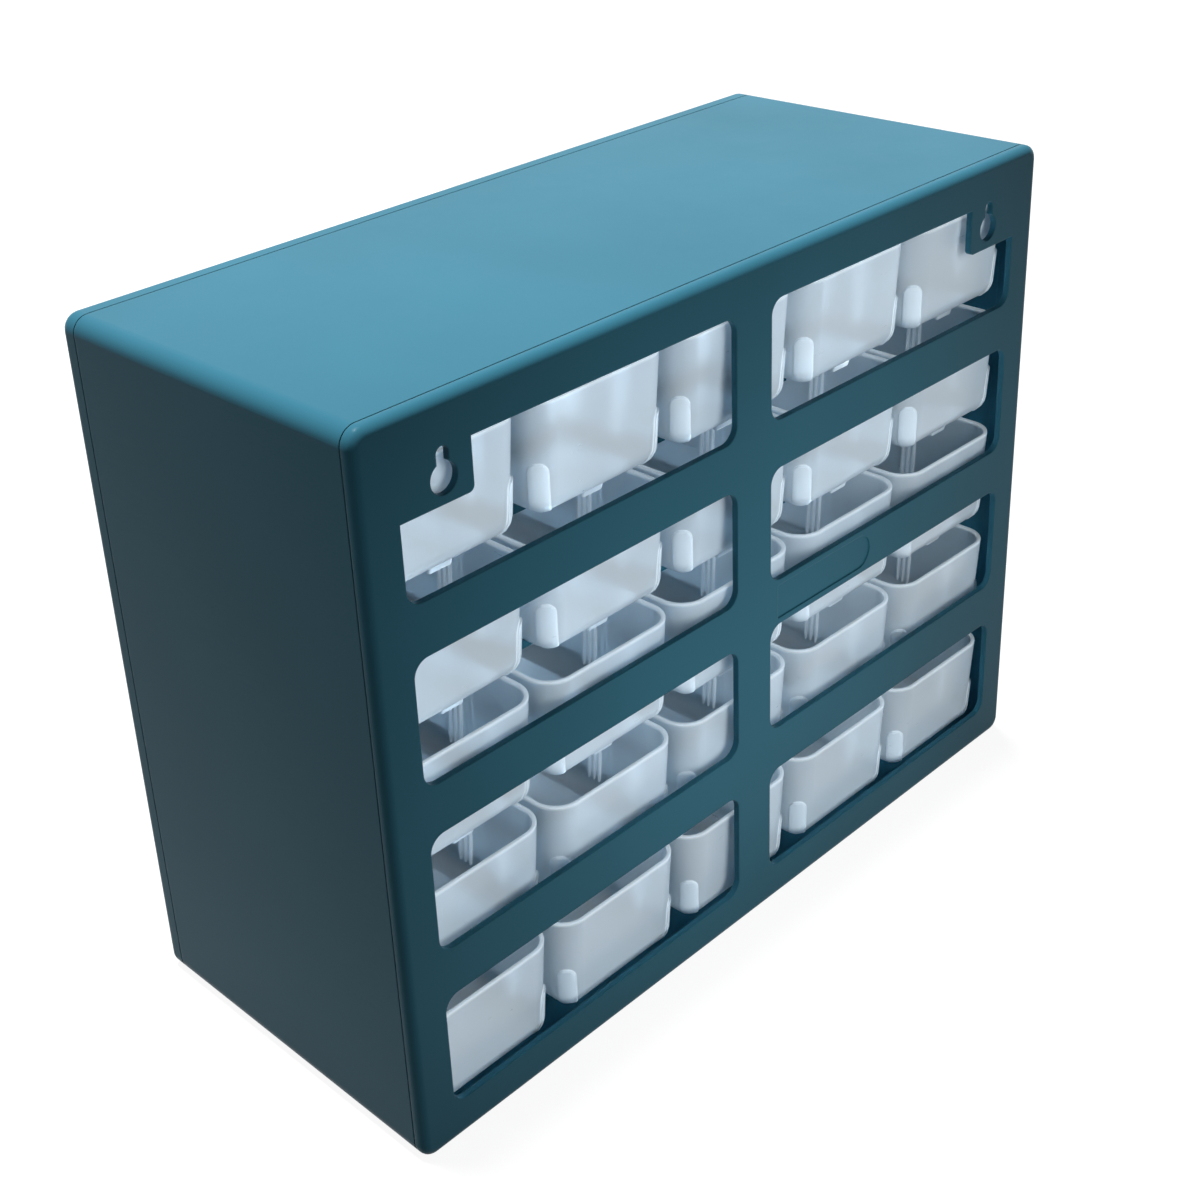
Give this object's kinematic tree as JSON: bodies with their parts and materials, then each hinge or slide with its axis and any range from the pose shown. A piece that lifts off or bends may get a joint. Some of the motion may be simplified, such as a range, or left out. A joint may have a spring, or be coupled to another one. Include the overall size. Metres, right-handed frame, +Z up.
{
  "type": "parts bin cabinet",
  "caption": "Small parts cabinet: a wall-hung plastic casing with an open windowed back and a grid of translucent slide-out drawers on cradle rails.",
  "frame": {"origin": "centre of the casing's footprint, on the surface it stands on", "axes": "+X along the width, to the left seen from behind the windowed back; +Y from the drawer fronts to the back; +Z up"},
  "size_m": [0.321, 0.138, 0.25],
  "materials": {
    "casing": "glossy moulded teal plastic",
    "drawer": "translucent milky plastic"
  },
  "bodies": {
    "cabinet": {"outer_sleeve": "casing", "front_frame": "casing", "back_panel": "casing", "rail_rack_1": "casing", "rail_rack_2": "casing", "rail_rack_3": "casing", "rail_rack_4": "casing", "rail_rack_5": "casing"},
    "drawer_1_1": {"drawer_1_1": "drawer"},
    "drawer_1_2": {"drawer_1_2": "drawer"},
    "drawer_1_3": {"drawer_1_3": "drawer"},
    "drawer_1_4": {"drawer_1_4": "drawer"},
    "drawer_1_5": {"drawer_1_5": "drawer"},
    "drawer_2_1": {"drawer_2_1": "drawer"},
    "drawer_2_2": {"drawer_2_2": "drawer"},
    "drawer_2_3": {"drawer_2_3": "drawer"},
    "drawer_2_4": {"drawer_2_4": "drawer"},
    "drawer_2_5": {"drawer_2_5": "drawer"},
    "drawer_3_1": {"drawer_3_1": "drawer"},
    "drawer_3_2": {"drawer_3_2": "drawer"},
    "drawer_3_3": {"drawer_3_3": "drawer"},
    "drawer_3_4": {"drawer_3_4": "drawer"},
    "drawer_3_5": {"drawer_3_5": "drawer"},
    "drawer_4_1": {"drawer_4_1": "drawer"},
    "drawer_4_2": {"drawer_4_2": "drawer"},
    "drawer_4_3": {"drawer_4_3": "drawer"},
    "drawer_4_4": {"drawer_4_4": "drawer"},
    "drawer_4_5": {"drawer_4_5": "drawer"},
    "drawer_5_1": {"drawer_5_1": "drawer"},
    "drawer_5_2": {"drawer_5_2": "drawer"},
    "drawer_5_3": {"drawer_5_3": "drawer"},
    "drawer_5_4": {"drawer_5_4": "drawer"},
    "drawer_5_5": {"drawer_5_5": "drawer"}
  },
  "joints": [
    {"name": "drawer_1_1_slide", "type": "slide", "parent": "cabinet", "child": "drawer_1_1", "axis": [0, -1, 0], "range_m": [0, 0.1055]},
    {"name": "drawer_1_2_slide", "type": "slide", "parent": "cabinet", "child": "drawer_1_2", "axis": [0, -1, 0], "range_m": [0, 0.1055]},
    {"name": "drawer_1_3_slide", "type": "slide", "parent": "cabinet", "child": "drawer_1_3", "axis": [0, -1, 0], "range_m": [0, 0.1055]},
    {"name": "drawer_1_4_slide", "type": "slide", "parent": "cabinet", "child": "drawer_1_4", "axis": [0, -1, 0], "range_m": [0, 0.1055]},
    {"name": "drawer_1_5_slide", "type": "slide", "parent": "cabinet", "child": "drawer_1_5", "axis": [0, -1, 0], "range_m": [0, 0.1055]},
    {"name": "drawer_2_1_slide", "type": "slide", "parent": "cabinet", "child": "drawer_2_1", "axis": [0, -1, 0], "range_m": [0, 0.1055]},
    {"name": "drawer_2_2_slide", "type": "slide", "parent": "cabinet", "child": "drawer_2_2", "axis": [0, -1, 0], "range_m": [0, 0.1055]},
    {"name": "drawer_2_3_slide", "type": "slide", "parent": "cabinet", "child": "drawer_2_3", "axis": [0, -1, 0], "range_m": [0, 0.1055]},
    {"name": "drawer_2_4_slide", "type": "slide", "parent": "cabinet", "child": "drawer_2_4", "axis": [0, -1, 0], "range_m": [0, 0.1055]},
    {"name": "drawer_2_5_slide", "type": "slide", "parent": "cabinet", "child": "drawer_2_5", "axis": [0, -1, 0], "range_m": [0, 0.1055]},
    {"name": "drawer_3_1_slide", "type": "slide", "parent": "cabinet", "child": "drawer_3_1", "axis": [0, -1, 0], "range_m": [0, 0.1055]},
    {"name": "drawer_3_2_slide", "type": "slide", "parent": "cabinet", "child": "drawer_3_2", "axis": [0, -1, 0], "range_m": [0, 0.1055]},
    {"name": "drawer_3_3_slide", "type": "slide", "parent": "cabinet", "child": "drawer_3_3", "axis": [0, -1, 0], "range_m": [0, 0.1055]},
    {"name": "drawer_3_4_slide", "type": "slide", "parent": "cabinet", "child": "drawer_3_4", "axis": [0, -1, 0], "range_m": [0, 0.1055]},
    {"name": "drawer_3_5_slide", "type": "slide", "parent": "cabinet", "child": "drawer_3_5", "axis": [0, -1, 0], "range_m": [0, 0.1055]},
    {"name": "drawer_4_1_slide", "type": "slide", "parent": "cabinet", "child": "drawer_4_1", "axis": [0, -1, 0], "range_m": [0, 0.1055]},
    {"name": "drawer_4_2_slide", "type": "slide", "parent": "cabinet", "child": "drawer_4_2", "axis": [0, -1, 0], "range_m": [0, 0.1055]},
    {"name": "drawer_4_3_slide", "type": "slide", "parent": "cabinet", "child": "drawer_4_3", "axis": [0, -1, 0], "range_m": [0, 0.1055]},
    {"name": "drawer_4_4_slide", "type": "slide", "parent": "cabinet", "child": "drawer_4_4", "axis": [0, -1, 0], "range_m": [0, 0.1055]},
    {"name": "drawer_4_5_slide", "type": "slide", "parent": "cabinet", "child": "drawer_4_5", "axis": [0, -1, 0], "range_m": [0, 0.1055]},
    {"name": "drawer_5_1_slide", "type": "slide", "parent": "cabinet", "child": "drawer_5_1", "axis": [0, -1, 0], "range_m": [0, 0.1055]},
    {"name": "drawer_5_2_slide", "type": "slide", "parent": "cabinet", "child": "drawer_5_2", "axis": [0, -1, 0], "range_m": [0, 0.1055]},
    {"name": "drawer_5_3_slide", "type": "slide", "parent": "cabinet", "child": "drawer_5_3", "axis": [0, -1, 0], "range_m": [0, 0.1055]},
    {"name": "drawer_5_4_slide", "type": "slide", "parent": "cabinet", "child": "drawer_5_4", "axis": [0, -1, 0], "range_m": [0, 0.1055]},
    {"name": "drawer_5_5_slide", "type": "slide", "parent": "cabinet", "child": "drawer_5_5", "axis": [0, -1, 0], "range_m": [0, 0.1055]}
  ]
}
